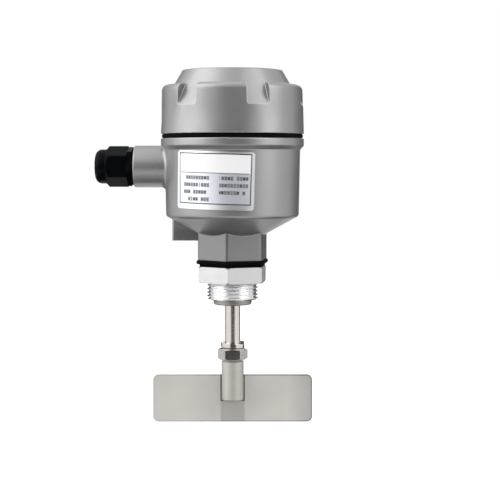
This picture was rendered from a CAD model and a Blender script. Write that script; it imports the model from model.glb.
"""Finishes, screw threads and stage of a rotary paddle level sensor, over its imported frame."""

import math
from types import SimpleNamespace

import bmesh
import bpy
from bpy.props import FloatProperty, FloatVectorProperty, IntProperty, PointerProperty
from mathutils import Matrix, Vector


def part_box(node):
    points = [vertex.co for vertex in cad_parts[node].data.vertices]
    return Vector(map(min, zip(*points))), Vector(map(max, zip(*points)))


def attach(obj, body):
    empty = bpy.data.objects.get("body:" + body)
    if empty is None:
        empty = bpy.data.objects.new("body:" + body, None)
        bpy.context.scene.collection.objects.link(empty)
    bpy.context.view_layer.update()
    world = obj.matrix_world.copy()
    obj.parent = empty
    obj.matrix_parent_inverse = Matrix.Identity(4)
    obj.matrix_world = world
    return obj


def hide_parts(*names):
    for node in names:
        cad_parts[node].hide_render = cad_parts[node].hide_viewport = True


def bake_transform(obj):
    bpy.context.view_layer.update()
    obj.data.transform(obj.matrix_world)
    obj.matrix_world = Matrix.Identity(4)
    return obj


bl_info = {
    "name": "Rotary paddle level sensor",
    "version": (1, 0, 0),
    "blender": (4, 5, 0),
    "location": "View3D > Sidebar > Level sensor",
    "description": "Finishes, screw threads, return spring and stage of a rotary paddle level sensor",
    "category": "Object",
}

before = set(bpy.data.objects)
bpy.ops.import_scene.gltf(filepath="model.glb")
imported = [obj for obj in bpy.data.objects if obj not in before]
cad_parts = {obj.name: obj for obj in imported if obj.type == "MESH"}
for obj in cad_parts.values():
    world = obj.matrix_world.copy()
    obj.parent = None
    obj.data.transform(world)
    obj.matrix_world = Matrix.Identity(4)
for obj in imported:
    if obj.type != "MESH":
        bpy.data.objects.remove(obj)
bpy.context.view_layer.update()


def mm(value):
    """Millimetres as metres."""
    return value / 1000


# Sizes that the finishes, nut and threads share with the solids, in metres
THREAD_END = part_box("threaded_fitting")[0][2]
PIPE_CREST = mm(16.6245)
FITTING_BORE = mm(12.5)
PLATE_LOW, PLATE_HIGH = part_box("nameplate")
HUB_LOW, HUB_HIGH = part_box("paddle_hub")
HUB_RADIUS = (HUB_HIGH[0] - HUB_LOW[0]) / 2
NUT_LOW, NUT_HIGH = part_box("lock_nut")
PADDLE_LOW, PADDLE_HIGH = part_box("paddle_plate")
PADDLE_CORNER = mm(3.5)
GLAND_LOW, GLAND_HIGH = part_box("gland_body")
BOSS_AXIS_Z = (GLAND_LOW[2] + GLAND_HIGH[2]) / 2
CAP_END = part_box("gland_cap_nut")[1][0]
COLLAR_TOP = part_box("housing")[1][2]
COVER_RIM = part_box("cover")[0][2]
NECK_TOP = mm(35)

# Points of a mesh closer than this are one point, in metres
SAME_POINT = 1e-6

METAL = {"Metallic": 1.0}
COLOUR = {"subtype": "COLOR", "size": 3, "min": 0, "max": 1}

# Rules of the sums beside the arithmetic ones: node, settings and the sockets they take
RULES = {
    "RANGE": ("ShaderNodeMapRange", {}, range(5)),
    "SOFT_RANGE": ("ShaderNodeMapRange", {"interpolation_type": "SMOOTHSTEP"}, range(5)),
    "MIX": ("ShaderNodeMix", {}, (0, 2, 3)),
}


def linear(code):
    """An sRGB hex colour as linear values, with full alpha."""
    values = [int(code[i : i + 2], 16) / 255 for i in (1, 3, 5)]
    return tuple(v / 12.92 if v <= 0.04045 else ((v + 0.055) / 1.055) ** 2.4 for v in values) + (1.0,)


def toned(colour, share=1.0):
    """A setting's colour, darker or lighter by a share, with full alpha."""
    return (*(c * share for c in colour), 1.0)


def join(tree, node, links):
    """Links each source, a socket or a node's first output in use, to the node's input of that key."""
    for key, source in links.items():
        if isinstance(source, bpy.types.Node):
            source = next(socket for socket in source.outputs if socket.enabled)
        tree.links.new(source, node.inputs[key])


def add_node(tree, kind, settings=None, values=None, links=None):
    """Adds one node with its settings, socket values and links."""
    node = tree.nodes.new(kind)
    for key, value in (settings or {}).items():
        setattr(node, key, value)
    for key, value in (values or {}).items():
        node.inputs[key].default_value = value
    join(tree, node, links or {})
    return node


def work_out(tree, known, *steps):
    """Adds the steps of a sum to a tree. A step has a name, a rule and what it takes: numbers, or
    the names of what is known already."""
    for name, rule, *taken in steps:
        plain = "ShaderNodeVectorMath" if rule.startswith("VECTOR_") else "ShaderNodeMath"
        operation = {"operation": rule.removeprefix("VECTOR_")}
        kind, settings, sockets = RULES.get(rule, (plain, operation, range(3)))
        given = dict(zip(sockets, taken))
        known[name] = add_node(
            tree,
            kind,
            settings=settings,
            values={key: item for key, item in given.items() if not isinstance(item, str)},
            links={key: known[item] for key, item in given.items() if isinstance(item, str)},
        )


def empty_tree(owner):
    """The node tree of a material or a world, with nothing in it."""
    owner.use_nodes = True
    owner.node_tree.nodes.clear()
    return owner.node_tree


def new_finish(name, **patterns):
    """A node material with its shader, its place on the piece and the cloudy patterns over it. Each
    pattern has a scale per metre and a detail; three scales draw it out, as a lathe or a brush does."""
    material = bpy.data.materials.new(name)
    tree = empty_tree(material)
    shader = add_node(tree, "ShaderNodeBsdfPrincipled")
    add_node(tree, "ShaderNodeOutputMaterial", links={"Surface": shader})
    place = add_node(tree, "ShaderNodeTexCoord").outputs["Object"]
    work = SimpleNamespace(material=material, tree=tree, shader=shader, place=place)
    for key, (scale, detail) in patterns.items():
        where = place
        if isinstance(scale, tuple):
            where = add_node(tree, "ShaderNodeMapping", values={"Scale": scale}, links={"Vector": place})
            scale = 1.0
        values = {"Scale": scale, "Detail": detail}
        setattr(work, key, add_node(tree, "ShaderNodeTexNoise", values=values, links={"Vector": where}))
    return work


def dress(work, tones, gloss, relief, eased=None, constant=None):
    """The ground that the finishes share: two tones mixed by a pattern, a roughness that runs with a
    pattern, edges eased by a bevel of so many samples and millimetres, and a relief of a strength, a
    depth in millimetres and a pattern. Sockets that are the same all over are set on the shader."""
    tree, shader = work.tree, work.shader
    low, high, pattern = tones
    work.colour = add_node(
        tree, "ShaderNodeMix", settings={"data_type": "RGBA"}, values={6: low, 7: high}, links={0: pattern}
    )
    low, high, pattern = gloss
    rough = add_node(
        tree, "ShaderNodeMapRange", values={"To Min": low, "To Max": high}, links={"Value": pattern}
    )
    strength, depth, pattern = relief
    raised = {"Height": pattern}
    if eased:
        samples, radius = eased
        work.eased = add_node(
            tree, "ShaderNodeBevel", settings={"samples": samples}, values={"Radius": mm(radius)}
        )
        raised["Normal"] = work.eased
    bump = add_node(
        tree, "ShaderNodeBump", values={"Strength": strength, "Distance": mm(depth)}, links=raised
    )
    join(tree, shader, {"Base Color": work.colour, "Roughness": rough, "Normal": bump})
    for key, value in (constant or {}).items():
        shader.inputs[key].default_value = value


def coat(work, code, share, ramp=None, rule="RANGE"):
    """Lays another colour over a finish, by a share or by a value that runs from the ramp's first
    number, for none, to its second, for the third number's share."""
    known = {"share": share}
    if ramp:
        none, full, most = ramp
        work_out(work.tree, known, ("share", rule, "share", none, full, 0.0, most))
    work.colour = add_node(
        work.tree,
        "ShaderNodeMix",
        settings={"data_type": "RGBA"},
        values={7: linear(code)},
        links={0: known["share"], 6: work.colour},
    )
    join(work.tree, work.shader, {"Base Color": work.colour})


def rub_edges(work, code, ramp):
    """Lays a colour over the cast or moulded edges, where the eased normal leans off the true one."""
    known = {"eased": work.eased, "true": add_node(work.tree, "ShaderNodeNewGeometry").outputs["Normal"]}
    work_out(work.tree, known, ("facing", "VECTOR_DOT_PRODUCT", "eased", "true"))
    coat(work, code, known["facing"], ramp)


def give(material, *nodes):
    """Puts a finish on carried-over CAD nodes."""
    for name in nodes:
        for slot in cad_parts[name].material_slots:
            slot.material = material


# Finishes of the castings, seals and gland


def powder_coated_aluminium(finish):
    """Die-cast aluminium under a silver-grey polyester powder: even colour, a soft sheen, a fine
    orange peel of about 1 mm, thinner, brighter paint along the cast edges and a greyer neck."""
    work = new_finish("powder_coated_aluminium", cloud=(28, 2), grain=(1600, 1), peel=(750, 2))
    rough = finish.paint_roughness
    dress(
        work, tones=(toned(finish.paint_colour, 0.93), toned(finish.paint_colour, 1.05), work.cloud),
        gloss=(rough - 0.04, rough + 0.06, work.cloud),
        relief=(0.35, 0.03, work.peel),
        eased=(6, 0.8),
        constant={"Metallic": finish.paint_metallic, "Specular IOR Level": 0.3},
    )
    coat(work, "#C4C5C7", work.grain, ramp=(0.62, 0.78, 0.16))
    # Less powder reaches the neck below the cone, which stays greyer
    split = add_node(work.tree, "ShaderNodeSeparateXYZ", links={"Vector": work.place}).outputs
    coat(work, "#000000", split["Z"], (NECK_TOP + mm(1), NECK_TOP - mm(3), 0.25), "SOFT_RANGE")
    rub_edges(work, "#D6D6D6", ramp=(0.99, 0.84, 0.85))
    return work.material


def moulded_nitrile(finish):
    """Press-moulded nitrile rubber: deep black and matt, with a faint grey bloom and the fine
    tool texture of its mould."""
    work = new_finish("moulded_nitrile_rubber", bloom=(130, 4), tooling=(1500, 2))
    dress(
        work, tones=(toned(finish.rubber_colour), linear("#131314"), work.bloom),
        gloss=(0.55, 0.8, work.bloom),
        relief=(0.4, 0.03, work.tooling),
        eased=(4, 0.3),
        constant={"IOR": 1.52, "Specular IOR Level": 0.02},
    )
    return work.material


def moulded_nylon(finish):
    """Injection-moulded black polyamide: a bluish black with a satin face, fine spark-eroded
    texture and edges rubbed slightly paler."""
    work = new_finish("moulded_black_polyamide", cloud=(90, 3), spark=(1900, 2))
    dress(
        work, tones=(toned(finish.nylon_colour), linear("#0A0B10"), work.cloud),
        gloss=(0.26, 0.38, work.cloud),
        relief=(0.35, 0.02, work.spark),
        eased=(6, 0.35),
        constant={"IOR": 1.53, "Specular IOR Level": 0.03},
    )
    rub_edges(work, "#1E2028", ramp=(0.99, 0.88, 0.35))
    return work.material


# Finishes of the bare metals


def turned_aluminium(colour, name, gloss):
    """Aluminium turned and milled from bar: very pale, with fine cutting lines round its axis
    every 0.15 mm and crisp, slightly broken edges."""
    work = new_finish(name, lines=((60, 60, 6600), 2), cloud=(110, 3))
    dress(
        work, tones=(toned(colour, 0.9), toned(colour), work.cloud),
        gloss=(gloss - 0.08, gloss + 0.08, work.lines),
        relief=(0.3, 0.01, work.lines),
        eased=(6, 0.35), constant=METAL,
    )
    return work.material


def turned_stainless(colour, name, gloss):
    """Stainless steel turned between centres: a warm grey with a satin polish and tool lines
    round the shaft every 0.1 mm."""
    work = new_finish(name, lines=((80, 80, 9000), 2), cloud=(160, 3))
    dress(
        work, tones=(toned(colour, 0.88), toned(colour), work.cloud),
        gloss=(gloss - 0.06, gloss + 0.06, work.lines),
        relief=(0.3, 0.008, work.lines),
        eased=(6, 0.25), constant=METAL,
    )
    return work.material


def brushed_stainless(finish):
    """Cold-rolled stainless sheet, brushed along its length, with a dark line of oxide round the
    welded hub, a duller strip below it, one worn end and a deburred rim."""
    work = new_finish("brushed_stainless_sheet", lines=((90, 90, 5200), 3), cloud=(45, 4))
    tree = work.tree
    dress(
        work, tones=(toned(finish.sheet_colour, 0.86), toned(finish.sheet_colour), work.cloud),
        gloss=(0.42, 0.58, work.lines),
        relief=(0.35, 0.008, work.lines),
        eased=(4, 0.3), constant=METAL,
    )
    split = add_node(tree, "ShaderNodeSeparateXYZ", links={"Vector": work.place}).outputs
    known = dict(split.items(), place=work.place, cloud=work.cloud)
    middle = (PADDLE_LOW[2] + PADDLE_HIGH[2]) / 2
    corner = (PADDLE_HIGH[0] - PADDLE_CORNER, 1, PADDLE_HIGH[2] - middle - PADDLE_CORNER)
    work_out(
        tree, known,
        # The heat of the weld, which runs out unevenly from the hub
        ("from_hub", "VECTOR_DISTANCE", "place", (0, 0, HUB_LOW[2] + mm(2))),
        ("ragged", "MULTIPLY_ADD", "cloud", mm(14), "from_hub"),
        ("warmth", "SOFT_RANGE", "ragged", mm(38), mm(12), 0.0, 0.2),
        ("aside", "ABSOLUTE", "X"),
        # The strip below the hub, a little wider than it, that the fixture kept from being brushed
        ("strip", "RANGE", "aside", HUB_RADIUS + mm(0.75), HUB_RADIUS + mm(0.45), 0.0, 0.5),
        # The end that leads in the product's flow, dulled by wear
        ("worn", "RANGE", "X", mm(36), PADDLE_HIGH[0], 0.0, 0.4),
        ("plain", "MAXIMUM", "warmth", "strip"),
        ("stain", "MAXIMUM", "plain", "worn"),
        # The dark line of oxide where the hub's welds meet the sheet, down its sides and under it
        ("beyond", "SUBTRACT", "aside", HUB_RADIUS),
        ("under", "SUBTRACT", HUB_LOW[2], "Z"),
        ("outline", "MAXIMUM", "beyond", "under"),
        ("weld", "COMPARE", "outline", mm(0.3), mm(0.35)),
        # The deburred rim, darker at the worn end: how far past the middles of the rounded corners
        ("centred", "VECTOR_SUBTRACT", "place", (0, 0, middle)),
        ("folded", "VECTOR_ABSOLUTE", "centred"),
        ("over", "VECTOR_SUBTRACT", "folded", corner),
        ("outside", "VECTOR_MAXIMUM", "over"),
        ("past", "VECTOR_LENGTH", "outside"),
        ("strength", "RANGE", "X", -PADDLE_HIGH[0], PADDLE_HIGH[0], 0.2, 0.62),
        ("rim", "RANGE", "past", PADDLE_CORNER - mm(1.1), PADDLE_CORNER - mm(0.3), 0.0, "strength"),
        ("dark", "MAXIMUM", "weld", "rim"),
    )
    coat(work, "#8C8C88", known["stain"])
    coat(work, "#3A3835", known["dark"])
    return work.material


def ground_steel():
    """Hardened bearing and spring steel, ground and oiled: a cool bright grey with fine
    scratches and a thin oil film that evens its shine."""
    work = new_finish("ground_bearing_steel", scratch=(2200, 2), film=(220, 3))
    dress(
        work, tones=(linear("#B4B6B9"), linear("#D2D4D6"), work.film),
        gloss=(0.16, 0.3, work.film),
        relief=(0.2, 0.006, work.scratch),
        constant=METAL,
    )
    return work.material


def zinc_plated_steel():
    """Mild steel, zinc plated and clear passivated: bluish silver with a cloudy spangle of
    about 4 mm and a soft shine."""
    work = new_finish("zinc_plated_steel", cloud=(60, 4))
    spangle = add_node(
        work.tree, "ShaderNodeTexVoronoi", values={"Scale": 240.0}, links={"Vector": work.place}
    ).outputs
    dress(
        work, tones=(linear("#A9AFB5"), linear("#CBD0D4"), spangle["Color"]),
        gloss=(0.28, 0.46, work.cloud),
        relief=(0.2, 0.01, spangle["Distance"]),
        eased=(4, 0.2), constant=METAL,
    )
    coat(work, "#A8A48F", work.cloud, ramp=(0.55, 0.8, 0.3))
    return work.material


def turned_brass():
    """Free-cutting brass turned from bar: a pale yellow that dulls a little in patches, with
    tool lines round the posts."""
    work = new_finish("turned_brass", lines=((90, 90, 7000), 2), dull=(150, 4))
    dress(
        work, tones=(linear("#DDBE78"), linear("#B8924E"), work.dull),
        gloss=(0.2, 0.38, work.dull),
        relief=(0.25, 0.008, work.lines),
        constant=METAL,
    )
    return work.material


# Finishes of the electrical parts


def moulded_phenolic():
    """Compression-moulded phenolic of the switch cases: brownish black, hard and half shiny,
    with a faint mottle from its wood-flour filler."""
    work = new_finish("moulded_phenolic", filler=(700, 3))
    dress(
        work, tones=(linear("#17130F"), linear("#332A22"), work.filler),
        gloss=(0.25, 0.42, work.filler),
        relief=(0.2, 0.01, work.filler),
        eased=(4, 0.3),
    )
    return work.material


def glass_laminate():
    """Glass-epoxy laminate of the terminal plate: translucent green over a woven glass cloth
    whose threads cross every 1 mm, under a clear gloss."""
    work = new_finish("glass_epoxy_laminate")
    known = {}
    for name, direction in (("warp", "X"), ("weft", "Y")):
        known[name] = add_node(
            work.tree,
            "ShaderNodeTexWave",
            settings={"wave_type": "BANDS", "bands_direction": direction},
            values={"Scale": 310.0, "Distortion": 0.6},
            links={"Vector": work.place},
        ).outputs["Fac"]
    work_out(work.tree, known, ("weave", "MULTIPLY", "warp", "weft"))
    dress(
        work, tones=(linear("#1D4A2C"), linear("#3F7A4C"), known["weave"]),
        gloss=(0.18, 0.34, known["weave"]),
        relief=(0.2, 0.01, known["weave"]),
        constant={"IOR": 1.55},
    )
    return work.material


def ivory_polyamide():
    """Injection-moulded ivory polyamide of the terminal block: warm, slightly yellowed where
    it is thick, with a satin face."""
    work = new_finish("moulded_ivory_polyamide", cloud=(80, 3), spark=(1800, 2))
    dress(
        work, tones=(linear("#DDD6C2"), linear("#E9E4D6"), work.cloud),
        gloss=(0.38, 0.52, work.cloud),
        relief=(0.3, 0.015, work.spark),
        eased=(4, 0.25),
        constant={"IOR": 1.53},
    )
    return work.material


def printed_foil(plate):
    """Anodised aluminium foil with screen-printed ink: a satin silver rim, a white field, a
    border, a divider and rows of blank greeked entries. Nothing on it can be read."""
    # All in millimetres: the body's radius, and a column's middle and half width
    body_radius = 43.9
    left_column = (-11.2, 9.4)
    right_column = (13.6, 9.0)
    divider_end = plate.border_half_width - 1.2
    first_row = plate.divider_height - 0.87
    left_rows, right_rows = 4, 3
    work = new_finish("printed_aluminium_foil", grain=((120, 120, 4200), 2))
    tree = work.tree
    # Turned so that the middle of the plate lies on +X: the angle gives the way round the body
    front = add_node(
        tree, "ShaderNodeMapping", values={"Rotation": (0, 0, -plate.angle)}, links={"Vector": work.place}
    )
    split = add_node(tree, "ShaderNodeSeparateXYZ", links={"Vector": front}).outputs
    known = dict(split.items())
    work_out(
        tree, known,
        # Millimetres round the body and up from the middle of the plate
        ("angle", "ARCTAN2", "Y", "X"),
        ("across", "MULTIPLY", "angle", body_radius),
        ("height", "MULTIPLY_ADD", "Z", 1000.0, -500 * (PLATE_LOW[2] + PLATE_HIGH[2])),
    )
    flat = add_node(tree, "ShaderNodeCombineXYZ", links={"X": known["across"], "Y": known["height"]})
    level = add_node(
        tree, "ShaderNodeMapping", values={"Rotation": (0, 0, -plate.tilt)}, links={"Vector": flat}
    )
    split = add_node(tree, "ShaderNodeSeparateXYZ", links={"Vector": level}).outputs
    known.update(u=split["X"], v=split["Y"])
    work_out(
        tree, known,
        # Border: the distance from a rectangle's outline, within half the ink line's width
        ("side", "ABSOLUTE", "u"),
        ("beyond_side", "SUBTRACT", "side", plate.border_half_width),
        ("lifted", "SUBTRACT", "v", plate.border_rise),
        ("rise", "ABSOLUTE", "lifted"),
        ("beyond_rise", "SUBTRACT", "rise", plate.border_half_height),
        ("outline", "MAXIMUM", "beyond_side", "beyond_rise"),
        ("border", "COMPARE", "outline", 0.0, plate.line_width / 2),
        ("inside", "LESS_THAN", "outline", 0.0),
        # Divider between the blank heading and the entries
        ("at_divider", "COMPARE", "v", plate.divider_height, plate.line_width / 3),
        ("short", "LESS_THAN", "side", divider_end),
        ("divider", "MULTIPLY", "at_divider", "short"),
        # Rows: a row's number and the height within it
        ("below", "MULTIPLY_ADD", "v", -1 / plate.row_pitch, first_row / plate.row_pitch),
        ("row", "FLOOR", "below"),
        ("within_row", "FRACT", "below"),
        # Columns of greeked words: a mark's number and the place within it
        ("marks", "DIVIDE", "u", plate.mark_pitch),
        ("mark", "FLOOR", "marks"),
        ("within_mark", "FRACT", "marks"),
    )
    cell = add_node(tree, "ShaderNodeCombineXYZ", links={"X": known["mark"], "Y": known["row"]})
    known["chance"] = add_node(
        tree, "ShaderNodeTexWhiteNoise", settings={"noise_dimensions": "2D"}, links={"Vector": cell}
    )
    work_out(
        tree, known,
        # Chance sets a mark's half width, with gaps between words, its height and its ink
        ("width", "RANGE", "chance", 0.1, 0.2, 0.0, 0.44),
        ("tall", "RANGE", "chance", 0.0, 1.0, 0.31, 0.22),
        ("weight", "RANGE", "chance", 0.0, 1.0, 0.6, 0.95),
        ("on_row", "COMPARE", "within_row", 0.5, "tall"),
        ("on_mark", "COMPARE", "within_mark", 0.5, "width"),
        ("left", "COMPARE", "u", *left_column),
        ("right", "COMPARE", "u", *right_column),
        ("upper", "LESS_THAN", "row", right_rows - 0.5),
        ("right_marks", "MULTIPLY", "right", "upper"),
        ("columns", "MAXIMUM", "left", "right_marks"),
        ("started", "GREATER_THAN", "row", -0.5),
        ("ended", "LESS_THAN", "row", left_rows - 0.5),
        ("rows_on", "MULTIPLY", "started", "ended"),
        ("in_field", "MULTIPLY", "columns", "rows_on"),
        ("word", "MULTIPLY", "on_row", "on_mark"),
        ("placed", "MULTIPLY", "word", "in_field"),
        ("text", "MULTIPLY", "placed", "weight"),
        ("lines", "MAXIMUM", "border", "divider"),
        ("ink", "MAXIMUM", "lines", "text"),
        # The white heading, and the foil's metal where neither ink nor heading covers it
        ("above", "GREATER_THAN", "v", plate.divider_height),
        ("heading", "MULTIPLY", "inside", "above"),
        ("bare", "RANGE", "inside", 0.0, 1.0, 0.8, 0.5),
        ("inked", "MAXIMUM", "ink", "heading"),
    )
    metal = add_node(
        tree,
        "ShaderNodeMath",
        settings={"operation": "SUBTRACT", "use_clamp": True},
        links={0: known["bare"], 1: known["inked"]},
    )
    dress(
        work, tones=(linear("#D4D5D7"), linear("#E6E7E8"), work.grain),
        gloss=(0.3, 0.42, work.grain),
        relief=(0.3, 0.02, known["ink"]),
    )
    coat(work, "#D9DCE3", known["inside"])
    coat(work, "#FAFAFB", known["heading"])
    coat(work, "#1B1C1F", known["ink"])
    join(tree, work.shader, {"Metallic": metal})
    return work.material


# Screw threads and other shapes


def thread_tree():
    """Geometry Nodes for a threaded sleeve: a grid bent round the Z axis, whose radius follows
    the helix, closed over its ends and down its bore."""
    tree = bpy.data.node_groups.new("screw_thread", "GeometryNodeTree")
    tree.interface.new_socket("Geometry", in_out="OUTPUT", socket_type="NodeSocketGeometry")
    for kind, names in (
        ("Float", "Crest Radius,Root Radius,Bore Radius,Pitch,Length,Lead Chamfer,Top Radius"),
        ("Int", "Segments,Rings"),
        ("Vector", "Place,Turn"),
        ("Material", "Material"),
    ):
        for name in names.split(","):
            tree.interface.new_socket(name, in_out="INPUT", socket_type="NodeSocket" + kind)
    known = dict(add_node(tree, "NodeGroupInput").outputs.items())
    # Three rows more than the thread's own close the ends and the bore
    work_out(
        tree, known,
        ("rows", "ADD", "Rings", 4.0),
        ("columns", "ADD", "Segments", 1.0),
        ("last_row", "ADD", "Rings", 3.0),
    )
    grid = add_node(
        tree,
        "GeometryNodeMeshGrid",
        values={"Size X": 1.0, "Size Y": 1.0},
        links={"Vertices X": known["columns"], "Vertices Y": known["rows"]},
    )
    where = add_node(tree, "GeometryNodeInputPosition")
    split = add_node(tree, "ShaderNodeSeparateXYZ", links={"Vector": where}).outputs
    known.update(across=split["X"], up=split["Y"])
    work_out(
        tree, known,
        # A point's row and its ring; the row past the top wraps back to the first
        ("angle", "MULTIPLY", "across", math.tau),
        ("share", "ADD", "up", 0.5),
        ("row_place", "MULTIPLY", "share", "last_row"),
        ("row", "ROUND", "row_place"),
        ("stepped", "SUBTRACT", "row", 1.0),
        ("low", "MAXIMUM", "stepped", 0.0),
        ("ring", "MINIMUM", "low", "Rings"),
        ("last_ring", "ADD", "Rings", 1.5),
        ("wraps", "GREATER_THAN", "stepped", "last_ring"),
        ("kept", "SUBTRACT", 1.0, "wraps"),
        ("ring_kept", "MULTIPLY", "ring", "kept"),
        ("along", "DIVIDE", "ring_kept", "Rings"),
        ("rise", "MULTIPLY", "along", "Length"),
        # The helix: how far a point is along the pitch, folded to a ridge with flat crest and root
        ("pitches", "DIVIDE", "rise", "Pitch"),
        ("phase", "SUBTRACT", "pitches", "across"),
        ("fold", "PINGPONG", "phase", 0.5),
        ("ridge", "RANGE", "fold", 0.07, 0.43),
        ("wall", "RANGE", "ridge", 0.0, 1.0, "Root Radius", "Crest Radius"),
        # The chamfered lead at the first ring, the plain top and the bore
        ("lead", "SUBTRACT", "Crest Radius", "Lead Chamfer"),
        ("cone", "ADD", "lead", "rise"),
        ("led", "MINIMUM", "wall", "cone"),
        ("at_top", "GREATER_THAN", "along", 0.9999),
        ("topped", "MIX", "at_top", "led", "Top Radius"),
        ("at_first", "COMPARE", "row", 1.0, 0.1),
        ("footed", "MIX", "at_first", "topped", "lead"),
        ("before", "LESS_THAN", "row", 0.5),
        ("past_rings", "ADD", "Rings", 0.5),
        ("after", "GREATER_THAN", "stepped", "past_rings"),
        ("in_bore", "MAXIMUM", "before", "after"),
        ("radius", "MIX", "in_bore", "footed", "Bore Radius"),
        ("cosine", "COSINE", "angle"),
        ("sine", "SINE", "angle"),
        ("x", "MULTIPLY", "radius", "cosine"),
        ("y", "MULTIPLY", "radius", "sine"),
    )
    bent = add_node(
        tree, "ShaderNodeCombineXYZ", links={"X": known["x"], "Y": known["y"], "Z": known["rise"]}
    )
    shaped = grid
    for kind, values, links in (
        ("GeometryNodeSetPosition", {}, {"Position": bent}),
        ("GeometryNodeMergeByDistance", {"Distance": SAME_POINT}, {}),
        ("GeometryNodeTransform", {}, {"Translation": known["Place"], "Rotation": known["Turn"]}),
        ("GeometryNodeRealizeInstances", {}, {}),
        ("GeometryNodeSetMaterial", {}, {"Material": known["Material"]}),
        ("NodeGroupOutput", {}, {}),
    ):
        shaped = add_node(tree, kind, values=values, links={"Geometry": shaped, **links})
    return tree


def cut_thread(name, material, slot, keen, **sizes):
    """A threaded sleeve on the housing as a plain mesh, from the thread tree and its named inputs.
    Edges sharper than the keen angle, in degrees, stay sharp."""
    tree = bpy.data.node_groups.get("screw_thread") or thread_tree()
    carrier = bpy.data.objects.new(name + "_form", bpy.data.meshes.new(name + "_form"))
    bpy.context.collection.objects.link(carrier)
    modifier = carrier.modifiers.new("thread", "NODES")
    modifier.node_group = tree
    sockets = {s.name: s.identifier for s in tree.interface.items_tree if s.in_out == "INPUT"}
    for key, value in {**sizes, "material": material}.items():
        modifier[sockets[key.replace("_", " ").title()]] = value
    mesh = bpy.data.meshes.new_from_object(carrier.evaluated_get(bpy.context.evaluated_depsgraph_get()))
    bpy.data.objects.remove(carrier)
    thread = new_piece(name, mesh, material)
    shade_by_angle(mesh, math.radians(keen))
    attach(thread, "housing")


def new_piece(name, mesh, material):
    """A piece at the origin with this mesh and one material."""
    mesh.name = name
    mesh.materials.clear()
    mesh.materials.append(material)
    piece = bpy.data.objects.new(name, mesh)
    bpy.context.collection.objects.link(piece)
    return piece


def solid_copy(node, name, material):
    """A merged copy of a CAD node's mesh as a new piece with sharp edges kept."""
    piece = new_piece(name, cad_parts[node].data.copy(), material)
    shape = bmesh.new()
    shape.from_mesh(piece.data)
    bmesh.ops.remove_doubles(shape, verts=shape.verts, dist=SAME_POINT)
    shape.to_mesh(piece.data)
    shape.free()
    shade_by_angle(piece.data, math.radians(30))
    return piece


def shade_by_angle(mesh, limit):
    """Smooth shading, with edges sharper than the limit kept, and one material all over."""
    shape = bmesh.new()
    shape.from_mesh(mesh)
    for edge in shape.edges:
        edge.smooth = len(edge.link_faces) == 2 and edge.calc_face_angle(0) < limit
    for face in shape.faces:
        face.smooth = True
        face.material_index = 0
    shape.to_mesh(mesh)
    shape.free()


# Settings


class FinishSettings(bpy.types.PropertyGroup):
    """Colours and gloss of the sensor's surfaces."""

    paint_colour: FloatVectorProperty(
        name="Paint", description="Colour of the powder coat", default=linear("#909090")[:3], **COLOUR
    )
    paint_roughness: FloatProperty(
        name="Paint roughness", description="How matt the powder coat is", subtype="FACTOR",
        min=0.05, max=1, default=0.38,
    )
    paint_metallic: FloatProperty(
        name="Paint metal", description="Share of aluminium flake in the powder coat", subtype="FACTOR",
        min=0, max=1, default=0.65,
    )
    rubber_colour: FloatVectorProperty(
        name="Rubber", description="Colour of the seals", default=linear("#08080A")[:3], **COLOUR
    )
    nylon_colour: FloatVectorProperty(
        name="Gland", description="Colour of the cable gland", default=linear("#040509")[:3], **COLOUR
    )
    fitting_colour: FloatVectorProperty(
        name="Fitting", description="Colour of the turned fitting", default=linear("#C0C0C1")[:3], **COLOUR
    )
    thread_colour: FloatVectorProperty(
        name="Thread", description="Colour of the cut threads", default=linear("#E8E8E9")[:3], **COLOUR
    )
    steel_colour: FloatVectorProperty(
        name="Steel", description="Colour of the shaft and nut", default=linear("#CAC4C0")[:3], **COLOUR
    )
    hub_colour: FloatVectorProperty(
        name="Hub", description="Colour of the welded hub", default=linear("#B8B5B0")[:3], **COLOUR
    )
    retainer_colour: FloatVectorProperty(
        name="Retainer", description="Colour of the bearing retainer", default=linear("#96938E")[:3], **COLOUR
    )
    sheet_colour: FloatVectorProperty(
        name="Sheet", description="Colour of the paddle's sheet", default=linear("#DDDAD4")[:3], **COLOUR
    )


class PlateSettings(bpy.types.PropertyGroup):
    """Layout of the nameplate's print, in millimetres on the plate."""

    angle: FloatProperty(
        name="Angle", description="Where the middle of the plate is round the body", subtype="ANGLE",
        default=math.radians(-103.3),
    )
    tilt: FloatProperty(
        name="Tilt", description="How far the plate is turned", subtype="ANGLE", default=math.radians(-1.7)
    )
    border_half_width: FloatProperty(
        name="Border half width", description="Half the border's width in mm", default=24.3
    )
    border_half_height: FloatProperty(
        name="Border half height", description="Half the border's height in mm", default=15.6
    )
    border_rise: FloatProperty(
        name="Border rise", description="Middle of the border above the plate's in mm", default=1.05
    )
    line_width: FloatProperty(name="Line width", description="Width of the printed lines in mm", default=0.65)
    divider_height: FloatProperty(
        name="Divider", description="Height of the divider above the middle in mm", default=4.64
    )
    row_pitch: FloatProperty(name="Row pitch", description="Height of one row of entries in mm", default=4.45)
    mark_pitch: FloatProperty(name="Mark pitch", description="Width of one greeked mark in mm", default=1.9)


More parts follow.
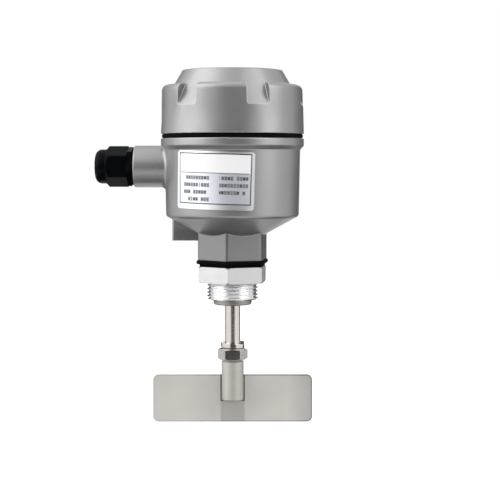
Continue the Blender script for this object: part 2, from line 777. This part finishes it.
class ThreadSettings(bpy.types.PropertyGroup):
    """Sizes of the screw threads."""

    pipe_pitch: FloatProperty(
        name="Pipe pitch", description="Pitch of the process thread", unit="LENGTH", default=mm(2.309)
    )
    pipe_depth: FloatProperty(
        name="Pipe depth", description="Depth of the process thread", unit="LENGTH", default=mm(1.3)
    )
    cover_pitch: FloatProperty(
        name="Cover pitch", description="Pitch of the cover's thread", unit="LENGTH", default=mm(2.0)
    )
    gland_pitch: FloatProperty(
        name="Gland pitch", description="Pitch of the cap nut's thread", unit="LENGTH", default=mm(1.5)
    )
    collar_radius: FloatProperty(
        name="Collar", description="Root radius of the cover's thread", unit="LENGTH", default=mm(41.72)
    )
    stub_radius: FloatProperty(
        name="Stub", description="Root radius of the cap nut's thread", unit="LENGTH", default=mm(9.58)
    )
    fine_depth: FloatProperty(
        name="Fine depth", description="Depth of the collar and gland threads", unit="LENGTH",
        default=mm(0.22),
    )
    segments: IntProperty(name="Segments", description="Faces round each thread", min=24, default=128)


class StageSettings(bpy.types.PropertyGroup):
    """Camera, lamps, floor and background."""

    camera_place: FloatVectorProperty(
        name="Camera", description="Place of the camera", subtype="TRANSLATION", unit="LENGTH", size=3,
        default=(0.0518, -0.8985, 0.0768),
    )
    camera_turn: FloatVectorProperty(
        name="Camera turn", description="Turn of the camera", subtype="EULER", size=3,
        default=(math.radians(86.44), 0.0, math.radians(2.575)),
    )
    lens: FloatProperty(name="Lens", description="Focal length in mm on a 36 mm sensor", default=99.58)
    left_power: FloatProperty(
        name="Left lamp", description="Power of the left softbox", subtype="POWER", default=15.5
    )
    right_power: FloatProperty(
        name="Right lamp", description="Power of the right softbox", subtype="POWER", default=7.5
    )
    top_power: FloatProperty(
        name="Top lamp", description="Power of the top softbox", subtype="POWER", default=1.2
    )
    ambient: FloatProperty(
        name="Ambient", description="Level of the room's even light", subtype="FACTOR", min=0, max=1,
        default=0.78,
    )
    floor_level: FloatProperty(name="Floor", description="Height of the floor", unit="LENGTH", default=-0.5)


# Operators


class SENSOR_OT_stage(bpy.types.Operator):
    """Sets up the camera, lamps, floor, dark cloths and background"""

    bl_idname = "sensor.stage"
    bl_label = "Stage"

    def execute(self, context):
        scene = context.scene
        stage = scene.sensor_stage
        lens = bpy.data.cameras.new("photo_camera")
        lens.lens = stage.lens
        lens.sensor_width = 36.0
        lens.clip_start = 0.01
        camera = bpy.data.objects.new("photo_camera", lens)
        camera.location = stage.camera_place
        camera.rotation_euler = stage.camera_turn
        context.collection.objects.link(camera)
        scene.camera = camera
        scene.view_settings.view_transform = "Standard"
        middle = Vector((0, 0, 0.03))
        for name, place, size, power in (
            ("left_softbox", (-0.93, -0.36, 0.66), (1.3, 1.4), stage.left_power),
            ("right_softbox", (0.9, -0.42, 0.62), (0.7, 1.3), stage.right_power),
            ("top_softbox", (-0.1, 0.1, 1.0), (0.9, 0.6), stage.top_power),
        ):
            lamp = bpy.data.lights.new(name, "AREA")
            lamp.shape = "RECTANGLE"
            lamp.size, lamp.size_y = size
            lamp.energy = power
            box = bpy.data.objects.new(name, lamp)
            box.location = place
            box.rotation_euler = (middle - Vector(place)).to_track_quat("-Z", "Y").to_euler()
            box.visible_camera = False
            context.collection.objects.link(box)
        self.add_sheets(stage)
        self.light_room(scene, stage)
        return {"FINISHED"}

    def add_sheets(self, stage):
        """A pale floor, and the dark cloths that studios hang round metal to shape its shine."""
        low = Matrix.Translation((0, 0, stage.floor_level))
        self.hang_sheet("floor", 8, low @ Matrix.Scale(12, 4), self.pale_floor())
        on_floor = stage.floor_level + 0.01
        felt = self.dark_cloth()
        for name, place, size in (
            ("front_flag", (0.13, -1.0, 0.09), (1.06, 0.78)),
            ("left_back_flag", (-0.52, 0.84, 0.1), (0.66, 0.9)),
            ("right_back_flag", (0.57, 0.82, 0.1), (0.8, 0.9)),
            ("left_side_flag", (-0.9, 0.4, -0.2), (0.08, 0.3)),
            ("low_cloth", (0.0, -0.06, on_floor), (0.5, 0.34)),
            ("left_low_cloth", (-0.55, 0.3, on_floor), (0.6, 0.9)),
            ("right_low_cloth", (0.51, 0.38, on_floor), (0.62, 0.98)),
            ("left_front_cloth", (-0.2, -0.42, on_floor), (0.34, 0.26)),
        ):
            toward = Vector((0, 0, 1)) if place[2] == on_floor else Vector((place[0], place[1], 0))
            turn = toward.to_track_quat("Z", "Y").to_matrix().to_4x4()
            cloth = self.hang_sheet(
                name, 4, Matrix.Translation(place) @ turn @ Matrix.Diagonal((*size, 1, 1)), felt
            )
            cloth.visible_camera = False
            cloth.visible_shadow = False

    def hang_sheet(self, name, count, place, material):
        """A sheet of the stage, one metre square before it is placed."""
        mesh = bpy.data.meshes.new(name)
        shape = bmesh.new()
        bmesh.ops.create_grid(shape, x_segments=count, y_segments=count, size=0.5)
        shape.to_mesh(mesh)
        shape.free()
        mesh.transform(place)
        sheet = new_piece(name, mesh, material)
        return sheet

    def seen_directly(self, tree):
        """One where the camera looks, or a mirror or glass, and none for the light on the object."""
        known = dict(add_node(tree, "ShaderNodeLightPath").outputs.items())
        work_out(
            tree, known,
            ("mirrored", "MAXIMUM", "Is Glossy Ray", "Is Transmission Ray"),
            ("seen", "MAXIMUM", "Is Camera Ray", "mirrored"),
        )
        return known["seen"]

    def pale_floor(self):
        """Pale studio paper, which the camera and mirrors see as white and which keeps a shadow."""
        material = bpy.data.materials.new("pale_studio_paper")
        tree = empty_tree(material)
        seen = self.seen_directly(tree)
        paper = add_node(tree, "ShaderNodeBsdfDiffuse", values={"Color": linear("#BEBEBE")})
        white = add_node(
            tree, "ShaderNodeEmission", values={"Color": linear("#F4F4F4")}, links={"Strength": seen}
        )
        both = add_node(tree, "ShaderNodeAddShader", links={0: paper, 1: white})
        add_node(tree, "ShaderNodeOutputMaterial", links={"Surface": both})
        return material

    def dark_cloth(self):
        """Black studio felt, which reflects next to nothing."""
        material = bpy.data.materials.new("black_studio_felt")
        tree = empty_tree(material)
        felt = add_node(
            tree, "ShaderNodeBsdfPrincipled", values={"Base Color": linear("#1C1C1D"), "Roughness": 1.0}
        )
        add_node(tree, "ShaderNodeOutputMaterial", links={"Surface": felt})
        return material

    def light_room(self, scene, stage):
        """An even room light, and a white background for the camera and for reflections."""
        scene.world = bpy.data.worlds.new("studio")
        tree = empty_tree(scene.world)
        seen = self.seen_directly(tree)
        white = (1, 1, 1, 1)
        even = add_node(tree, "ShaderNodeBackground", values={"Color": white, "Strength": stage.ambient})
        full = add_node(tree, "ShaderNodeBackground", values={"Color": white, "Strength": 1.0})
        both = add_node(tree, "ShaderNodeMixShader", links={0: seen, 1: even, 2: full})
        add_node(tree, "ShaderNodeOutputWorld", links={"Surface": both})


class SENSOR_OT_castings(bpy.types.Operator):
    """Paints the cast housing and its screw cover"""

    bl_idname = "sensor.castings"
    bl_label = "Castings"

    def execute(self, context):
        give(powder_coated_aluminium(context.scene.sensor_finish), "housing", "cover")
        return {"FINISHED"}


class SENSOR_OT_seals(bpy.types.Operator):
    """Finishes the rubber seals"""

    bl_idname = "sensor.seals"
    bl_label = "Seals"

    def execute(self, context):
        rubber = moulded_nitrile(context.scene.sensor_finish)
        give(rubber, "cover_o_ring", "gland_sealing_ring", "gland_seal_insert", "neck_gasket", "shaft_seal")
        return {"FINISHED"}


class SENSOR_OT_gland(bpy.types.Operator):
    """Finishes the cable gland"""

    bl_idname = "sensor.gland"
    bl_label = "Cable gland"

    def execute(self, context):
        give(moulded_nylon(context.scene.sensor_finish), "gland_body", "gland_cap_nut")
        return {"FINISHED"}


class SENSOR_OT_nameplate(bpy.types.Operator):
    """Prints the nameplate"""

    bl_idname = "sensor.nameplate"
    bl_label = "Nameplate"

    def execute(self, context):
        give(printed_foil(context.scene.sensor_plate), "nameplate")
        return {"FINISHED"}


class SENSOR_OT_fitting(bpy.types.Operator):
    """Turns the hexagon fitting and cuts its pipe thread"""

    bl_idname = "sensor.fitting"
    bl_label = "Threaded fitting"

    def execute(self, context):
        threads = context.scene.sensor_threads
        finish = context.scene.sensor_finish
        milled = turned_aluminium(finish.fitting_colour, "milled_aluminium", 0.52)
        turned = turned_aluminium(finish.thread_colour, "turned_aluminium", 0.25)
        lead = mm(1.0)
        body = solid_copy("threaded_fitting", "hexagon_fitting", milled)
        # The solid's plain thread goes, from its chamfered lead up to the hexagon's seat
        inner = PIPE_CREST - lead - mm(0.01)
        shape = bmesh.new()
        shape.from_mesh(body.data)
        plain = [
            f
            for f in shape.faces
            if all(v.co.z < SAME_POINT and math.hypot(v.co.x, v.co.y) > inner for v in f.verts)
            and any(v.co.z < -SAME_POINT for v in f.verts)
        ]
        bmesh.ops.delete(shape, geom=plain, context="FACES")
        shape.to_mesh(body.data)
        shape.free()
        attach(body, "housing")
        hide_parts("threaded_fitting")
        cut_thread(
            "pipe_thread", turned, "machined_aluminium", keen=40,
            crest_radius=PIPE_CREST, root_radius=PIPE_CREST - threads.pipe_depth, bore_radius=FITTING_BORE,
            pitch=threads.pipe_pitch, length=-THREAD_END, lead_chamfer=lead, top_radius=PIPE_CREST,
            segments=threads.segments, rings=70, place=(0, 0, THREAD_END),
        )
        return {"FINISHED"}


class SENSOR_OT_fine_threads(bpy.types.Operator):
    """Cuts the cover's thread on the housing's collar and the cap nut's on the gland's stub"""

    bl_idname = "sensor.fine_threads"
    bl_label = "Fine threads"

    def execute(self, context):
        threads = context.scene.sensor_threads
        finish = context.scene.sensor_finish
        metal = turned_aluminium(finish.thread_colour, "thread_aluminium", 0.36)
        nylon = bpy.data.materials.get("moulded_black_polyamide") or moulded_nylon(finish)
        # The collar's thread runs from just below the cover's rim to the chamfer at the collar's top
        collar_low = COVER_RIM - mm(1.4)
        collar_length = COLLAR_TOP - mm(1.2) - collar_low
        # The stub's runs from the cap nut's inner end on under it, toward the cable
        stub_length = mm(4.4)
        toward_cable = (0, math.radians(-90), 0)
        for name, material, slot, radius, pitch, length, rings, place, turn in (
            (
                "collar_thread", metal, "machined_aluminium", threads.collar_radius, threads.cover_pitch,
                collar_length, 48, (0, 0, collar_low), (0, 0, 0),
            ),
            (
                "gland_thread", nylon, "gland_nylon", threads.stub_radius, threads.gland_pitch,
                stub_length, 36, (CAP_END, 0, BOSS_AXIS_Z), toward_cable,
            ),
        ):
            cut_thread(
                name, material, slot, keen=50,
                crest_radius=radius + threads.fine_depth, root_radius=radius, bore_radius=radius - mm(0.2),
                pitch=pitch, length=length, lead_chamfer=threads.fine_depth, top_radius=radius,
                segments=threads.segments, rings=rings, place=place, turn=turn,
            )
        return {"FINISHED"}


class SENSOR_OT_steels(bpy.types.Operator):
    """Finishes the shaft line and the inner steel parts, and faces the lock nut"""

    bl_idname = "sensor.steels"
    bl_label = "Steel parts"

    def execute(self, context):
        finish = context.scene.sensor_finish
        turned = turned_stainless(finish.steel_colour, "turned_stainless_steel", 0.25)
        give(turned, "drive_shaft", "outer_earth_washer", "outer_earth_screw")
        polished = turned_stainless(finish.steel_colour, "polished_stainless_steel", 0.18)
        give(polished, "spring_washer")
        self.face_nut(polished)
        give(turned_stainless(finish.hub_colour, "pickled_stainless_steel", 0.62), "paddle_hub")
        give(turned_stainless(finish.retainer_colour, "oiled_stainless_steel", 0.5), "bearing_retainer")
        give(
            ground_steel(),
            "bearing_outer_rings", "bearing_inner_rings", "motor_output_shaft", "signal_switch_lever",
            "motor_cutout_switch_lever",
        )
        give(
            zinc_plated_steel(),
            "shaft_clip", "coupling_sleeve", "coupling_set_screws", "chassis_plate", "motor_carriage",
            "gear_motor", "motor_screws", "switch_bracket", "switch_screws", "terminal_screws",
            "terminal_plate_screws", "inner_earth_clamp",
        )
        return {"FINISHED"}

    def face_nut(self, material):
        """The lock nut as a ring of profiles, its corners cut back to arcs by conical faces."""
        half_flats = mm(8.5)
        face_radius = mm(6.9)
        bore = mm(5.05)
        cone = math.radians(30)
        corner = math.radians(3.1)
        count = 96
        low, high = NUT_LOW[2], NUT_HIGH[2]
        shape = bmesh.new()
        rings = []
        for i in range(count):
            turn = math.tau * i / count
            radius = half_flats / math.cos(turn % (math.pi / 3) - math.pi / 6)
            drop = (radius - face_radius) * math.tan(cone)
            half = ((bore, low), (face_radius, low), (radius, low + drop))
            profile = (*half, (radius, high - drop), (face_radius, high), (bore, high))
            way = (math.cos(turn + corner), math.sin(turn + corner))
            rings.append([shape.verts.new((r * way[0], r * way[1], z)) for r, z in profile])
        for ring, after in zip(rings, rings[1:] + rings[:1]):
            for j in range(len(ring)):
                k = (j + 1) % len(ring)
                shape.faces.new((ring[j], after[j], after[k], ring[k]))
        bmesh.ops.recalc_face_normals(shape, faces=shape.faces)
        mesh = bpy.data.meshes.new("faced_lock_nut")
        shape.to_mesh(mesh)
        shape.free()
        shade_by_angle(mesh, math.radians(20))
        nut = new_piece("faced_lock_nut", mesh, material)
        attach(nut, "rotor")
        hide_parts("lock_nut")


class SENSOR_OT_paddle(bpy.types.Operator):
    """Finishes the sheet-steel paddle"""

    bl_idname = "sensor.paddle"
    bl_label = "Paddle"

    def execute(self, context):
        give(brushed_stainless(context.scene.sensor_finish), "paddle_plate")
        return {"FINISHED"}


class SENSOR_OT_electrics(bpy.types.Operator):
    """Finishes the brass, switch, laminate and terminal parts"""

    bl_idname = "sensor.electrics"
    bl_label = "Electrical parts"

    def execute(self, context):
        give(
            turned_brass(),
            "pivot_bushing", "swing_stop_stud", "spring_post", "spring_pin", "standoffs", "inner_earth_screw",
        )
        give(moulded_phenolic(), "signal_microswitch", "motor_cutout_microswitch")
        give(glass_laminate(), "terminal_plate")
        give(ivory_polyamide(), "terminal_block")
        return {"FINISHED"}


class SENSOR_OT_spring(bpy.types.Operator):
    """Hangs the return spring between the housing's post and the carriage's pin"""

    bl_idname = "sensor.spring"
    bl_label = "Return spring"

    def execute(self, context):
        steel = bpy.data.materials.get("ground_bearing_steel") or ground_steel()
        spring = solid_copy("return_spring", "return_spring_coil", steel)
        post = sum((Vector(c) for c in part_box("spring_post")), Vector()) / 2
        pin = sum((Vector(c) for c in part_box("spring_pin")), Vector()) / 2
        post.z = pin.z = sum(c[2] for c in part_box("return_spring")) / 2
        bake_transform(spring)
        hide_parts("return_spring")
        return {"FINISHED"}


OPERATORS = (
    SENSOR_OT_stage,
    SENSOR_OT_castings,
    SENSOR_OT_seals,
    SENSOR_OT_gland,
    SENSOR_OT_nameplate,
    SENSOR_OT_fitting,
    SENSOR_OT_fine_threads,
    SENSOR_OT_steels,
    SENSOR_OT_paddle,
    SENSOR_OT_electrics,
    SENSOR_OT_spring,
)

SETTINGS = {
    "sensor_finish": FinishSettings,
    "sensor_plate": PlateSettings,
    "sensor_threads": ThreadSettings,
    "sensor_stage": StageSettings,
}


class SENSOR_PT_build(bpy.types.Panel):
    """Lists the sensor's settings and its operators in the order of the work"""

    bl_idname = "SENSOR_PT_build"
    bl_label = "Level sensor"
    bl_space_type = "VIEW_3D"
    bl_region_type = "UI"
    bl_category = "Level sensor"

    def draw(self, context):
        layout = self.layout
        for name in SETTINGS:
            group = getattr(context.scene, name)
            column = layout.box().column()
            for key in group.bl_rna.properties.keys():
                if key not in {"rna_type", "name"}:
                    column.prop(group, key)
        for operator in OPERATORS:
            layout.operator(operator.bl_idname)


def register():
    """Registers the settings, the operators and the panel."""
    for name, group in SETTINGS.items():
        bpy.utils.register_class(group)
        setattr(bpy.types.Scene, name, PointerProperty(type=group))
    for operator in OPERATORS:
        bpy.utils.register_class(operator)
    bpy.utils.register_class(SENSOR_PT_build)


def unregister():
    """Takes them away again, in the opposite order."""
    bpy.utils.unregister_class(SENSOR_PT_build)
    for operator in reversed(OPERATORS):
        bpy.utils.unregister_class(operator)
    for name, group in reversed(SETTINGS.items()):
        delattr(bpy.types.Scene, name)
        bpy.utils.unregister_class(group)


def main():
    """Registers the add-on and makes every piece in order."""
    register()
    bpy.ops.sensor.stage()
    bpy.ops.sensor.castings()
    bpy.ops.sensor.seals()
    bpy.ops.sensor.gland()
    bpy.ops.sensor.nameplate()
    bpy.ops.sensor.fitting()
    bpy.ops.sensor.fine_threads()
    bpy.ops.sensor.steels()
    bpy.ops.sensor.paddle()
    bpy.ops.sensor.electrics()
    bpy.ops.sensor.spring()


if __name__ == "__main__":
    main()
